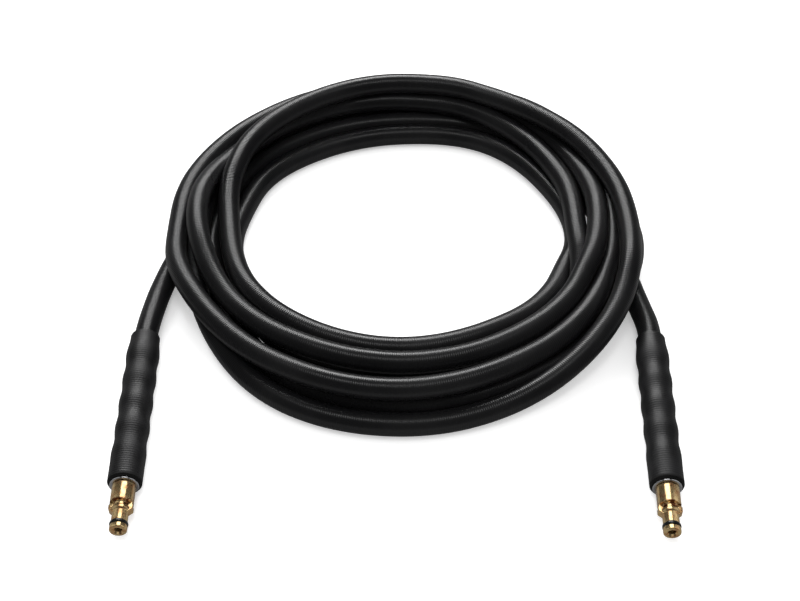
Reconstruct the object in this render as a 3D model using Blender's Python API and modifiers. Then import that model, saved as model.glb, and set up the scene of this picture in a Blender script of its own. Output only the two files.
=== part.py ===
"""A coiled pressure washer hose with a bend sleeve, a ferrule and a brass plug at each end.

The coil lies flat on the floor around the Z axis, and its two tails leave it low on the left and
on the right and run towards -Y. Each tail passes through a rubber bend sleeve into a steel
ferrule, which holds a turned brass plug with two bayonet lugs and a sealing ring.
All lengths are in metres and +Z is up. Places are measured from the coil's middle on the floor, and
at the end the hose is moved to put the origin on the floor under the middle of its box.
"""

import math

import bmesh
import bpy
import numpy as np
from mathutils import Matrix, Vector

CLEARANCE = 0.0003

# The hose and its coil.
HOSE_DIAMETER = 0.0145
COIL_INNER_RADIUS = 0.1015
COIL_OUTER_RADIUS = 0.1645
COIL_HEIGHT = 0.0360
TURNS_ACROSS = 4
LAYERS = 2
COIL_SEGMENTS = 72
BULGE_SIDES = 8

# The tails: hand-chosen points of the hose's centre line from the coil to the sleeve, each as its
# distance outside the coil's outermost point on that side, its Y and its height, and the direction
# in which each sleeve points.
LEFT_TAIL = (
    (-0.0145, -0.0120, 0.00725),
    (-0.0105, -0.0255, 0.00725),
    (-0.0075, -0.0380, 0.00725),
    (-0.0049, -0.0510, 0.00735),
    (-0.0032, -0.0645, 0.00800),
    (-0.0023, -0.0770, 0.00950),
)
RIGHT_TAIL = (
    (-0.0185, -0.0120, 0.00725),
    (-0.0173, -0.0240, 0.00725),
    (-0.0155, -0.0370, 0.00725),
    (-0.0132, -0.0510, 0.00735),
    (-0.0107, -0.0650, 0.00800),
    (-0.0089, -0.0780, 0.00950),
)
LEFT_SLEEVE_START = (-0.0017, -0.0910, 0.0105)
RIGHT_SLEEVE_START = (-0.0085, -0.0927, 0.0105)
LEFT_HEADING = -88.7
RIGHT_HEADING = -92.4
TAIL_STEP = 0.030

# The rubber bend sleeve, along its own axis from its thin end at the hose.
SLEEVE_LENGTH = 0.1140
SLEEVE_THIN_DIAMETER = 0.0183
SLEEVE_SHOULDER = 0.0025
SLEEVE_CREST_DIAMETER = 0.0206
SLEEVE_VALLEY_DIAMETER = 0.0191
SLEEVE_END_DIAMETER = 0.0202
SLEEVE_WAVES = 5
SLEEVE_WAVE_PITCH = 0.0191
SLEEVE_FIRST_CREST = 0.0164
SLEEVE_CHAMFER = 0.0014

# The steel ferrule, a cup over the hose's end.
FERRULE_LENGTH = 0.0230
FERRULE_DIAMETER = 0.0171
FERRULE_FACE = 0.0025
FERRULE_PROUD = 0.0010
FERRULE_EDGE = 0.0006

# The brass plug, along the same axis from the ferrule's face.
PLUG_STEM_DIAMETER = 0.0084
PLUG_BARREL_DIAMETER = 0.0138
PLUG_BARREL_LENGTH = 0.0123
PLUG_BARREL_EDGE = 0.0004
PLUG_FLAT_DEPTH = 0.0004
PLUG_WAIST_DIAMETER = 0.0098
PLUG_WAIST_LENGTH = 0.0033
PLUG_COLLAR_DIAMETER = 0.0116
PLUG_COLLAR_LENGTH = 0.0017
PLUG_NECK_DIAMETER = 0.0094
PLUG_NECK_LENGTH = 0.0071
PLUG_GROOVE_DIAMETER = 0.0070
PLUG_GROOVE_LENGTH = 0.0027
PLUG_TIP_DIAMETER = 0.0102
PLUG_TIP_LENGTH = 0.0031
PLUG_TIP_EDGE = 0.0009
PLUG_BORE_DIAMETER = 0.0044
PLUG_COUNTERSINK_DIAMETER = 0.0064
PLUG_COUNTERSINK_DEPTH = 0.0011

# The two bayonet lugs, each on a web that bridges the waist.
LUG_WIDTH = 0.0052
LUG_SPAN = 0.0137
LUG_LENGTH = 0.0028
LUG_RAMP = 0.0019
WEB_SPAN = 0.0128
WEB_LENGTH = 0.0024
WEB_ROOT = 0.0010

# The sealing ring in the plug's groove.
O_RING_SECTION = 0.0020
O_RING_DIAMETER = 0.0106

TURNED_SEGMENTS = 28


def clear_scene() -> None:
    """Remove every object of the open scene."""
    for obj in list(bpy.data.objects):
        bpy.data.objects.remove(obj, do_unlink=True)


def make_material(name: str, colour: tuple[float, float, float], roughness: float,
                  metallic: float = 0.0) -> bpy.types.Material:
    """Return a Principled material."""
    material = bpy.data.materials.new(name)
    material.use_nodes = True
    shader = material.node_tree.nodes["Principled BSDF"]
    shader.inputs["Base Color"].default_value = (*colour, 1.0)
    shader.inputs["Roughness"].default_value = roughness
    shader.inputs["Metallic"].default_value = metallic
    material.diffuse_color = (*colour, 1.0)
    return material


def smooth(obj: bpy.types.Object, angle: float = 35.0) -> None:
    """Shade a round piece smooth, with sharp edges where its outline turns."""
    obj.data.shade_smooth()
    obj.data.set_sharp_from_angle(angle=math.radians(angle))


def arc(centre: tuple[float, float], radius: float, start: float, end: float,
        steps: int) -> list[tuple[float, float]]:
    """Return points of an arc in a profile's plane, with angles in degrees."""
    angles = np.radians(np.linspace(start, end, steps + 1))
    return [(centre[0] + radius * math.cos(a), centre[1] + radius * math.sin(a)) for a in angles]


def turned(name: str, profile: list[tuple[float, float]], segments: int,
           collection: bpy.types.Collection) -> bpy.types.Object:
    """Turn a closed profile of (radius, height) points about the Z axis with a Screw modifier.

    The profile runs down its outer side and back up its inner side.
    """
    mesh = bpy.data.meshes.new(name)
    points = [(radius, 0.0, height) for radius, height in profile]
    edges = [(i, (i + 1) % len(points)) for i in range(len(points))]
    mesh.from_pydata(points, edges, [])
    obj = bpy.data.objects.new(name, mesh)
    collection.objects.link(obj)
    screw = obj.modifiers.new("Turn", "SCREW")
    screw.steps = segments
    screw.render_steps = segments
    screw.use_merge_vertices = True
    screw.merge_threshold = 0.00001
    return obj


def apply_modifiers(obj: bpy.types.Object) -> None:
    """Put the evaluated mesh in the object's place and drop its modifiers."""
    bpy.context.view_layer.update()
    evaluated = obj.evaluated_get(bpy.context.evaluated_depsgraph_get())
    mesh = bpy.data.meshes.new_from_object(evaluated)
    mesh.name = obj.name
    obj.modifiers.clear()
    obj.data = mesh


def boolean(obj: bpy.types.Object, other: bpy.types.Object, operation: str) -> None:
    """Add an exact Boolean with another object."""
    modifier = obj.modifiers.new(operation.title(), "BOOLEAN")
    modifier.operation = operation
    modifier.solver = "EXACT"
    modifier.object = other


def as_cutter(obj: bpy.types.Object) -> bpy.types.Object:
    """Mark an object as a guide that only cuts or joins others."""
    obj.hide_render = True
    obj.display_type = "WIRE"
    return obj


def beside_coil(point: tuple[float, float, float], side: int) -> Vector:
    """Return a tail's point in place, beside the coil on the left (-1) or on the right (1)."""
    outward, y, z = point
    return Vector((side * (COIL_OUTER_RADIUS + outward), y, z))


def along_axis(start: Vector, heading: float) -> Matrix:
    """Return the placing that turns a piece's +Z along a level heading, in degrees from +X."""
    turn = Matrix.Rotation(math.radians(heading), 4, "Z") @ Matrix.Rotation(math.radians(90), 4, "Y")
    return Matrix.Translation(start) @ turn


def coil_profile() -> list[tuple[float, float]]:
    """Return the coil's outline: a bulge for each turn that shows, with a flat on its crest."""
    radius = HOSE_DIAMETER / 2
    step = 360.0 / BULGE_SIDES
    corner_radius = radius / math.cos(math.radians(step / 2))
    reach = 90.0 - step / 2
    columns = np.linspace(COIL_INNER_RADIUS + radius, COIL_OUTER_RADIUS - radius, TURNS_ACROSS)
    rows = np.linspace(radius, COIL_HEIGHT - radius, LAYERS)

    def bulge(column: float, row: float, start: float, end: float) -> list[tuple[float, float]]:
        steps = round((start - end) / step)
        return arc((column, row), corner_radius, start, end, steps)

    points = []
    for row in rows[:0:-1]:
        first = 90.0 if row == rows[-1] else 0.0
        points += bulge(columns[-1], row, first + reach, -reach)
    points += bulge(columns[-1], rows[0], reach, -90.0 - reach)
    for column in columns[-2:0:-1]:
        points += bulge(column, rows[0], -90.0 + reach, -90.0 - reach)
    points += bulge(columns[0], rows[0], -90.0 + reach, -180.0 - reach)
    for row in rows[1:-1]:
        points += bulge(columns[0], row, -180.0 + reach, -180.0 - reach)
    points += bulge(columns[0], rows[-1], -180.0 + reach, -270.0 - reach)
    for column in columns[1:-1]:
        points += bulge(column, rows[-1], -270.0 + reach, -270.0 - reach)
    return points


def make_coil(collection: bpy.types.Collection, rubber: bpy.types.Material) -> bpy.types.Object:
    """Turn the coil's ring, with its turns showing on its ends and sides."""
    coil = turned("hose_coil", coil_profile(), COIL_SEGMENTS, collection)
    apply_modifiers(coil)
    smooth(coil)
    coil.data.materials.append(rubber)
    return coil


def smooth_points(points: list[Vector], step: float) -> list[Vector]:
    """Return points read from a smooth curve through the route's own points, a step apart."""
    ends = [points[0] * 2 - points[1], *points, points[-1] * 2 - points[-2]]
    dense = []
    for a, b, c, d in zip(ends, ends[1:], ends[2:], ends[3:]):
        for i in range(16):
            t = i / 16
            dense.append(0.5 * (2 * b + (c - a) * t + (2 * a - 5 * b + 4 * c - d) * t * t
                                + (3 * b - a - 3 * c + d) * t ** 3))
    dense.append(points[-1])
    length = np.concatenate([[0.0], np.cumsum([(q - p).length for p, q in zip(dense, dense[1:])])])
    count = max(2, round(length[-1] / step))
    at = np.linspace(0.0, length[-1], count + 1)
    columns = [np.interp(at, length, [p[k] for p in dense]) for k in range(3)]
    return [Vector(p) for p in zip(*columns)]


def make_tail(name: str, route: list[Vector], axis: Matrix, collection: bpy.types.Collection,
              cutters: bpy.types.Collection, rubber: bpy.types.Material) -> bpy.types.Object:
    """Sweep a tail from the coil's outside, through its sleeve, to the bottom of its ferrule."""
    inside = SLEEVE_LENGTH + FERRULE_PROUD - FERRULE_FACE - CLEARANCE
    free = smooth_points(route + [axis @ Vector((0, 0, 0.004)), axis @ Vector((0, 0, 0.014))],
                         HOSE_DIAMETER)
    runs = max(1, round((inside - 0.014) / TAIL_STEP))
    points = free + [axis @ Vector((0, 0, 0.014 + (inside - 0.014) * (i + 1) / runs))
                     for i in range(runs)]

    data = bpy.data.curves.new(name, "CURVE")
    data.dimensions = "3D"
    data.bevel_depth = HOSE_DIAMETER / 2
    data.bevel_resolution = 3
    data.use_fill_caps = True
    spline = data.splines.new("POLY")
    spline.points.add(len(points) - 1)
    for point, place in zip(spline.points, points):
        point.co = (*place, 1.0)
    curve = bpy.data.objects.new(name + "_curve", data)
    collection.objects.link(curve)
    bpy.context.view_layer.update()
    evaluated = curve.evaluated_get(bpy.context.evaluated_depsgraph_get())
    mesh = bpy.data.meshes.new_from_object(evaluated)
    cleaned = bmesh.new()
    cleaned.from_mesh(mesh)
    bmesh.ops.remove_doubles(cleaned, verts=cleaned.verts, dist=0.00001)
    cleaned.to_mesh(mesh)
    cleaned.free()
    tail = bpy.data.objects.new(name, mesh)
    tail.matrix_world = curve.matrix_world
    collection.objects.link(tail)
    bpy.data.objects.remove(curve, do_unlink=True)

    reach = COIL_OUTER_RADIUS + CLEARANCE
    bpy.ops.mesh.primitive_cylinder_add(vertices=COIL_SEGMENTS * 2, radius=reach,
                                        depth=4 * COIL_HEIGHT)
    cutter = as_cutter(bpy.context.object)
    cutter.name = name + "_coil_clearance"
    for owner in list(cutter.users_collection):
        owner.objects.unlink(cutter)
    cutters.objects.link(cutter)
    boolean(tail, cutter, "DIFFERENCE")
    apply_modifiers(tail)
    smooth(tail, 40.0)
    tail.data.materials.clear()
    tail.data.materials.append(rubber)
    return tail


def sleeve_radius(at: float) -> float:
    """Return the sleeve's outer radius at a distance from its thin end."""
    last_crest = SLEEVE_FIRST_CREST + (SLEEVE_WAVES - 1) * SLEEVE_WAVE_PITCH
    if at < SLEEVE_FIRST_CREST:
        share = max(0.0, at - SLEEVE_SHOULDER) / (SLEEVE_FIRST_CREST - SLEEVE_SHOULDER)
        blend = 0.5 - 0.5 * math.cos(math.pi * share)
        return (SLEEVE_THIN_DIAMETER + (SLEEVE_CREST_DIAMETER - SLEEVE_THIN_DIAMETER) * blend) / 2
    if at > last_crest:
        share = min(1.0, (at - last_crest) / (SLEEVE_WAVE_PITCH / 2))
        blend = 0.5 - 0.5 * math.cos(math.pi * share)
        return (SLEEVE_CREST_DIAMETER + (SLEEVE_END_DIAMETER - SLEEVE_CREST_DIAMETER) * blend) / 2
    wave = 0.5 + 0.5 * math.cos(2 * math.pi * (at - SLEEVE_FIRST_CREST) / SLEEVE_WAVE_PITCH)
    return (SLEEVE_VALLEY_DIAMETER + (SLEEVE_CREST_DIAMETER - SLEEVE_VALLEY_DIAMETER) * wave) / 2


def make_sleeve(name: str, placing: Matrix, collection: bpy.types.Collection,
                rubber: bpy.types.Material) -> bpy.types.Object:
    """Turn the waved bend sleeve, with a bore for the hose and a wider one for the ferrule."""
    bore = HOSE_DIAMETER / 2 + CLEARANCE
    seat = FERRULE_DIAMETER / 2 + CLEARANCE
    seat_start = SLEEVE_LENGTH + FERRULE_PROUD - FERRULE_LENGTH - CLEARANCE
    thin = SLEEVE_THIN_DIAMETER / 2
    shoulder = min(SLEEVE_SHOULDER, thin - bore - 0.0004)
    outer = [(radius, height) for radius, height in
             arc((thin - shoulder, shoulder), shoulder, -90.0, 0.0, 3)]
    body_end = SLEEVE_LENGTH - SLEEVE_CHAMFER
    stations = np.linspace(SLEEVE_SHOULDER, body_end, SLEEVE_WAVES * 5)[1:]
    outer += [(sleeve_radius(at), at) for at in stations]
    outer.append((sleeve_radius(body_end) - 0.6 * SLEEVE_CHAMFER, SLEEVE_LENGTH))
    inner = [(bore, 0.0), (bore, seat_start), (seat, seat_start), (seat, SLEEVE_LENGTH)]
    sleeve = turned(name, outer[::-1] + inner, TURNED_SEGMENTS, collection)
    sleeve.matrix_world = placing
    apply_modifiers(sleeve)
    smooth(sleeve)
    sleeve.data.materials.append(rubber)
    return sleeve


def make_ferrule(name: str, placing: Matrix, collection: bpy.types.Collection,
                 steel: bpy.types.Material) -> bpy.types.Object:
    """Turn the ferrule: a cup over the hose's end with a hole for the plug's stem."""
    start = SLEEVE_LENGTH + FERRULE_PROUD - FERRULE_LENGTH
    end = start + FERRULE_LENGTH
    outside = FERRULE_DIAMETER / 2
    hose = HOSE_DIAMETER / 2 + CLEARANCE
    stem = PLUG_STEM_DIAMETER / 2 + CLEARANCE
    profile = [
        (stem, end), (outside - FERRULE_EDGE, end), (outside, end - FERRULE_EDGE),
        (outside, start), (hose, start), (hose, end - FERRULE_FACE), (stem, end - FERRULE_FACE),
    ]
    ferrule = turned(name, profile, TURNED_SEGMENTS, collection)
    ferrule.matrix_world = placing
    apply_modifiers(ferrule)
    smooth(ferrule)
    ferrule.data.materials.append(steel)
    return ferrule


def plug_stations() -> dict[str, float]:
    """Return where the plug's steps lie along the sleeve's axis."""
    steps = (("face", CLEARANCE), ("barrel_end", PLUG_BARREL_LENGTH),
             ("waist_end", PLUG_WAIST_LENGTH), ("collar_end", PLUG_COLLAR_LENGTH),
             ("neck_end", PLUG_NECK_LENGTH), ("groove_end", PLUG_GROOVE_LENGTH),
             ("end", PLUG_TIP_LENGTH))
    at = {}
    height = SLEEVE_LENGTH + FERRULE_PROUD
    for name, length in steps:
        height += length
        at[name] = height
    return at


def prism(name: str, outline: list[tuple[float, float]], width: float,
          cutters: bpy.types.Collection) -> bpy.types.Object:
    """Add a flat outline of (across, along) points, extruded evenly to both sides, as a guide."""
    shape = bmesh.new()
    corners = [shape.verts.new((-width / 2, across, along)) for across, along in outline]
    face = shape.faces.new(corners)
    walls = bmesh.ops.extrude_face_region(shape, geom=[face])
    moved = [v for v in walls["geom"] if isinstance(v, bmesh.types.BMVert)]
    bmesh.ops.translate(shape, vec=(width, 0.0, 0.0), verts=moved)
    bmesh.ops.recalc_face_normals(shape, faces=shape.faces)
    mesh = bpy.data.meshes.new(name)
    shape.to_mesh(mesh)
    shape.free()
    obj = bpy.data.objects.new(name, mesh)
    cutters.objects.link(obj)
    return as_cutter(obj)


def lug_outline() -> list[tuple[float, float]]:
    """Return the outline of both lugs and their webs, as one bar across the plug."""
    at = plug_stations()
    root = at["barrel_end"] - WEB_ROOT
    lug = root + WEB_LENGTH
    half = [(WEB_SPAN / 2, root), (WEB_SPAN / 2, lug), (LUG_SPAN / 2, lug),
            (LUG_SPAN / 2, lug + LUG_LENGTH),
            (PLUG_NECK_DIAMETER / 2 - CLEARANCE, lug + LUG_LENGTH + LUG_RAMP)]
    return half + [(-across, along) for across, along in half[::-1]]


def make_plug(name: str, placing: Matrix, collection: bpy.types.Collection,
              cutters: bpy.types.Collection, brass: bpy.types.Material) -> bpy.types.Object:
    """Turn the brass plug, cut the barrel's flats and add the two bayonet lugs."""
    at = plug_stations()
    barrel, waist, collar, neck, groove, tip, stem, bore, sink = (
        diameter / 2 for diameter in (
            PLUG_BARREL_DIAMETER, PLUG_WAIST_DIAMETER, PLUG_COLLAR_DIAMETER, PLUG_NECK_DIAMETER,
            PLUG_GROOVE_DIAMETER, PLUG_TIP_DIAMETER, PLUG_STEM_DIAMETER, PLUG_BORE_DIAMETER,
            PLUG_COUNTERSINK_DIAMETER))
    stem_start = at["face"] - CLEARANCE - FERRULE_FACE
    profile = [
        (sink, at["end"]), (tip - PLUG_TIP_EDGE, at["end"]), (tip, at["end"] - PLUG_TIP_EDGE),
        (tip, at["groove_end"]), (groove, at["groove_end"]), (groove, at["neck_end"]),
        (neck, at["neck_end"]), (neck, at["collar_end"]),
        (collar, at["collar_end"]), (collar, at["waist_end"]),
        (waist, at["waist_end"]), (waist, at["barrel_end"]),
        (barrel - PLUG_BARREL_EDGE, at["barrel_end"]),
        (barrel, at["barrel_end"] - PLUG_BARREL_EDGE),
        (barrel, at["face"]), (stem, at["face"]), (stem, stem_start), (bore, stem_start),
        (bore, at["end"] - PLUG_COUNTERSINK_DEPTH),
    ]
    plug = turned(name, profile, TURNED_SEGMENTS, collection)
    for side in (-1, 1):
        near = side * (barrel - PLUG_FLAT_DEPTH)
        far = side * 2 * barrel
        low, high = at["face"] - CLEARANCE / 2, at["barrel_end"] + CLEARANCE / 2
        outline = [(near, low), (far, low), (far, high), (near, high)]
        flat = prism(f"{name}_flat_{'a' if side < 0 else 'b'}", outline, PLUG_BARREL_DIAMETER * 2,
                     cutters)
        boolean(plug, flat, "DIFFERENCE")
    lugs = prism(name + "_lugs", lug_outline(), LUG_WIDTH, cutters)
    drill = turned(name + "_drill", [(0.0, at["end"]), (bore, at["end"]), (bore, stem_start),
                                     (0.0, stem_start)], TURNED_SEGMENTS, cutters)
    as_cutter(drill)
    boolean(lugs, drill, "DIFFERENCE")
    boolean(plug, lugs, "UNION")
    apply_modifiers(plug)
    plug.matrix_world = placing
    smooth(plug, 30.0)
    plug.data.materials.clear()
    plug.data.materials.append(brass)
    return plug


def make_o_ring(name: str, placing: Matrix, collection: bpy.types.Collection,
                rubber: bpy.types.Material) -> bpy.types.Object:
    """Turn the sealing ring that sits in the plug's groove."""
    at = plug_stations()
    middle = (at["neck_end"] + at["groove_end"]) / 2
    outside = O_RING_DIAMETER / 2
    inside = PLUG_GROOVE_DIAMETER / 2 + CLEARANCE
    centre = (outside + inside) / 2
    half_height = O_RING_SECTION / 2
    profile = [(centre + (outside - inside) / 2 * math.cos(a), middle + half_height * math.sin(a))
               for a in np.radians(np.arange(90.0, -270.0, -36.0))]
    ring = turned(name, profile, TURNED_SEGMENTS, collection)
    ring.matrix_world = placing
    apply_modifiers(ring)
    smooth(ring, 60.0)
    ring.data.materials.append(rubber)
    return ring


def centre_on_floor(collection: bpy.types.Collection) -> None:
    """Move all pieces to put the origin on the floor under the middle of their box."""
    bpy.context.view_layer.update()
    corners = [obj.matrix_world @ vertex.co for obj in collection.objects
               for vertex in obj.data.vertices]
    low = [min(corner[k] for corner in corners) for k in range(2)]
    high = [max(corner[k] for corner in corners) for k in range(2)]
    shift = Matrix.Translation((-(low[0] + high[0]) / 2, -(low[1] + high[1]) / 2, 0.0))
    for obj in collection.objects:
        obj.matrix_world = shift @ obj.matrix_world


def main() -> None:
    """Build the hose, piece by piece."""
    clear_scene()
    hose = bpy.data.collections.new("pressure_washer_hose")
    cutters = bpy.data.collections.new("cutters")
    for collection in (hose, cutters):
        bpy.context.scene.collection.children.link(collection)

    hose_rubber = make_material("hose_rubber", (0.018, 0.018, 0.020), 0.42)
    sleeve_rubber = make_material("sleeve_rubber", (0.030, 0.030, 0.032), 0.62)
    seal_rubber = make_material("seal_rubber", (0.010, 0.010, 0.010), 0.25)
    brass = make_material("brass", (0.78, 0.58, 0.25), 0.20, 1.0)
    steel = make_material("steel", (0.62, 0.62, 0.63), 0.25, 1.0)

    make_coil(hose, hose_rubber)
    for side, sign, route, start, heading in (
            ("left", -1, LEFT_TAIL, LEFT_SLEEVE_START, LEFT_HEADING),
            ("right", 1, RIGHT_TAIL, RIGHT_SLEEVE_START, RIGHT_HEADING)):
        placing = along_axis(beside_coil(start, sign), heading)
        points = [beside_coil(point, sign) for point in route]
        make_tail(f"hose_tail_{side}", points, placing, hose, cutters, hose_rubber)
        make_sleeve(f"bend_sleeve_{side}", placing, hose, sleeve_rubber)
        make_ferrule(f"ferrule_{side}", placing, hose, steel)
        make_plug(f"plug_{side}", placing, hose, cutters, brass)
        make_o_ring(f"plug_o_ring_{side}", placing, hose, seal_rubber)
    centre_on_floor(hose)


if __name__ == "__main__":
    main()
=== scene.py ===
"""A pressure washer hose, wound in a loose flat coil, with a brass bayonet plug at each end.

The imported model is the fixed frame. One swept tube replaces the coil's ring and both tails: its
route is laid out in lanes, turn by turn, and then settled so that the turns rest on the floor and
on each other. Each end runs through a waved bend sleeve into a steel ferrule, which holds a turned
brass plug with two bayonet lugs and a sealing ring. All lengths are in metres.
"""

import logging
import math
from dataclasses import dataclass, field
from enum import Enum
from typing import Callable, Iterable, Sequence

import bmesh
import bpy
import numpy as np
from mathutils import Matrix, Vector


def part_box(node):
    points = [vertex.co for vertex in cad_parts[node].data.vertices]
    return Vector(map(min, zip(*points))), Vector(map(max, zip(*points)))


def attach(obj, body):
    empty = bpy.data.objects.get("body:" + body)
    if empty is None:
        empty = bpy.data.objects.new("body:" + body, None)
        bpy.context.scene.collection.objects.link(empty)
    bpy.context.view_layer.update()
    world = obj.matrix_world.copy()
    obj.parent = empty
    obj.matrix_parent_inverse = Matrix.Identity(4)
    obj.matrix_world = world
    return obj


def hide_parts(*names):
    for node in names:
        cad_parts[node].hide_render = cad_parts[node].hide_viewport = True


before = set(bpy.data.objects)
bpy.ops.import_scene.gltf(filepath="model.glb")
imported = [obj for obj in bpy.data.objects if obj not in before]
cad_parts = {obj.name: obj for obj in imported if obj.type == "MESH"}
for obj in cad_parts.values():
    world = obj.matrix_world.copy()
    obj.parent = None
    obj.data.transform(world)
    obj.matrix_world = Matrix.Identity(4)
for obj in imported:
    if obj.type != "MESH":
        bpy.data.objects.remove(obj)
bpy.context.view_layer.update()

log = logging.getLogger("hose")

Point = tuple[float, float, float]
Socket = bpy.types.NodeSocket

HOSE_DIAMETER = 0.0145
SLEEVE_LENGTH = 0.1140
FERRULE_PROUD = 0.0010
FERRULE_FACE = 0.0025
CLEARANCE = 0.0003


class Slot(Enum):
    """The record's material slots."""

    HOSE = "hose_rubber"
    SLEEVE = "sleeve_rubber"
    SEAL = "seal_rubber"
    BRASS = "brass"
    STEEL = "steel"


class End(Enum):
    """The hose's two ends, as seen from the camera."""

    LEFT = "left"
    RIGHT = "right"

    @property
    def sign(self) -> int:
        """The side of the coil that this end is on, along X."""
        return -1 if self is End.LEFT else 1


class NodeBench:
    """Adds, sets and links the nodes of one tree."""

    def __init__(self, tree: bpy.types.NodeTree) -> None:
        """Take hold of a tree.

        Args:
            tree: The shader or geometry tree to fill.
        """
        self.tree = tree
        self._count = 0

    def add(self, kind: str, **settings: object) -> bpy.types.Node:
        """Add a node and set its properties.

        Args:
            kind: The node's type name.
            **settings: Properties of the node.

        Returns:
            The new node.
        """
        node = self.tree.nodes.new(kind)
        node.location = (220.0 * (self._count % 8), -240.0 * (self._count // 8))
        self._count += 1
        for name, value in settings.items():
            setattr(node, name, value)
        return node

    def feed(self, target: Socket, value: object) -> None:
        """Give an input its value, or link another node's output to it.

        Args:
            target: The input.
            value: A plain value, or the output that is linked.
        """
        if isinstance(value, bpy.types.NodeSocket):
            self.tree.links.new(value, target)
        else:
            target.default_value = value

    def math(self, operation: str, *values: object) -> Socket:
        """Add a Math node.

        Args:
            operation: The node's operation.
            *values: Numbers or sockets for its inputs.

        Returns:
            The result's socket.
        """
        node = self.add("ShaderNodeMath", operation=operation)
        for target, value in zip(node.inputs, values):
            self.feed(target, value)
        return node.outputs[0]

    def span(self, value: Socket, low: float, high: float, to_low: float = 0.0,
             to_high: float = 1.0) -> Socket:
        """Map a value smoothly from one range to another, clamped at both ends.

        Args:
            value: The value's socket.
            low: Where the range starts.
            high: Where the range ends.
            to_low: The result at the start.
            to_high: The result at the end.

        Returns:
            The result's socket.
        """
        node = self.add("ShaderNodeMapRange", interpolation_type="SMOOTHSTEP")
        for target, given in zip(node.inputs, (value, low, high, to_low, to_high)):
            self.feed(target, given)
        return node.outputs[0]


class Surface:
    """A Principled material under way: its tree, its shader and the textures that drive it."""

    def __init__(self, name: str) -> None:
        """Start a material with this name."""
        self.material = bpy.data.materials.new(name)
        self.material.use_nodes = True
        self.bench = NodeBench(self.material.node_tree)
        self.shader = self.material.node_tree.nodes["Principled BSDF"]
        self.place = self.bench.add("ShaderNodeTexCoord").outputs["Object"]

    def set(self, **values: object) -> None:
        """Set the shader's inputs; an underscore stands for a space in an input's name."""
        for name, value in values.items():
            self.bench.feed(self.shader.inputs[name.replace("_", " ")], value)

    def noise(self, scale: float, detail: float = 3.0, roughness: float = 0.5) -> Socket:
        """Add a noise on the object's own coordinates.

        Args:
            scale: Features per metre.
            detail: Octaves.
            roughness: How strong the finer octaves are.

        Returns:
            The noise value, about 0 to 1.
        """
        noise = self.bench.add("ShaderNodeTexNoise")
        self.bench.feed(noise.inputs["Vector"], self.place)
        for name, value in (("Scale", scale), ("Detail", detail), ("Roughness", roughness)):
            noise.inputs[name].default_value = value
        return noise.outputs[0]

    def along(self) -> Socket:
        """Return the piece's own distance along its length, in metres."""
        return self.bench.add("ShaderNodeAttribute", attribute_name="along").outputs["Fac"]

    def waves(self, pitch: float) -> Socket:
        """Return a sine along the piece's length, for its cross lines.

        Args:
            pitch: The distance between two lines, in metres.

        Returns:
            The wave's socket.
        """
        turn = self.bench.math("MULTIPLY", self.along(), 2 * math.pi / pitch)
        return self.bench.math("SINE", turn)

    def blend(self, share: Socket, first: Point | Socket, second: Point) -> Socket:
        """Mix two colours.

        Args:
            share: How much of the second colour there is.
            first: The first colour, or the socket that carries it.
            second: The second colour.

        Returns:
            The mixed colour's socket.
        """
        mix = self.bench.add("ShaderNodeMix", data_type="RGBA")
        self.bench.feed(mix.inputs[0], share)
        linked = isinstance(first, bpy.types.NodeSocket)
        self.bench.feed(mix.inputs[6], first if linked else (*first, 1.0))
        self.bench.feed(mix.inputs[7], (*second, 1.0))
        return mix.outputs[2]

    def bump(self, *layers: tuple[Socket, float]) -> None:
        """Chain bump layers into the shader's normal.

        Args:
            *layers: Each layer's height socket and its depth in metres.
        """
        normal = None
        for height, depth in layers:
            node = self.bench.add("ShaderNodeBump")
            node.inputs["Strength"].default_value = 1.0
            node.inputs["Distance"].default_value = depth
            self.bench.feed(node.inputs["Height"], height)
            if normal is not None:
                self.bench.feed(node.inputs["Normal"], normal)
            normal = node.outputs[0]
        self.bench.feed(self.shader.inputs["Normal"], normal)


@dataclass(frozen=True)
class HoseRubber:
    """Black satin cover with fine cross ribs from its cloth wrapping."""

    colour: Point = (0.005, 0.005, 0.0055)
    faded: Point = (0.008, 0.008, 0.0085)
    rib_pitch: float = 0.00135
    rib_depth: float = 0.00004
    grain_depth: float = 0.00002
    roughness: tuple[float, float] = (0.27, 0.36)

    def material(self) -> bpy.types.Material:
        """Return the finished material."""
        surface = Surface(Slot.HOSE.value)
        bench = surface.bench
        ribs = surface.waves(self.rib_pitch)
        cloud = surface.noise(18.0, 4.0)
        grain = surface.noise(900.0, 2.0)
        surface.set(Base_Color=surface.blend(bench.span(cloud, 0.35, 0.7), self.colour, self.faded),
                    Roughness=bench.span(cloud, 0.3, 0.7, *self.roughness), IOR=1.4)
        surface.bump((ribs, self.rib_depth), (grain, self.grain_depth))
        return surface.material


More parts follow.
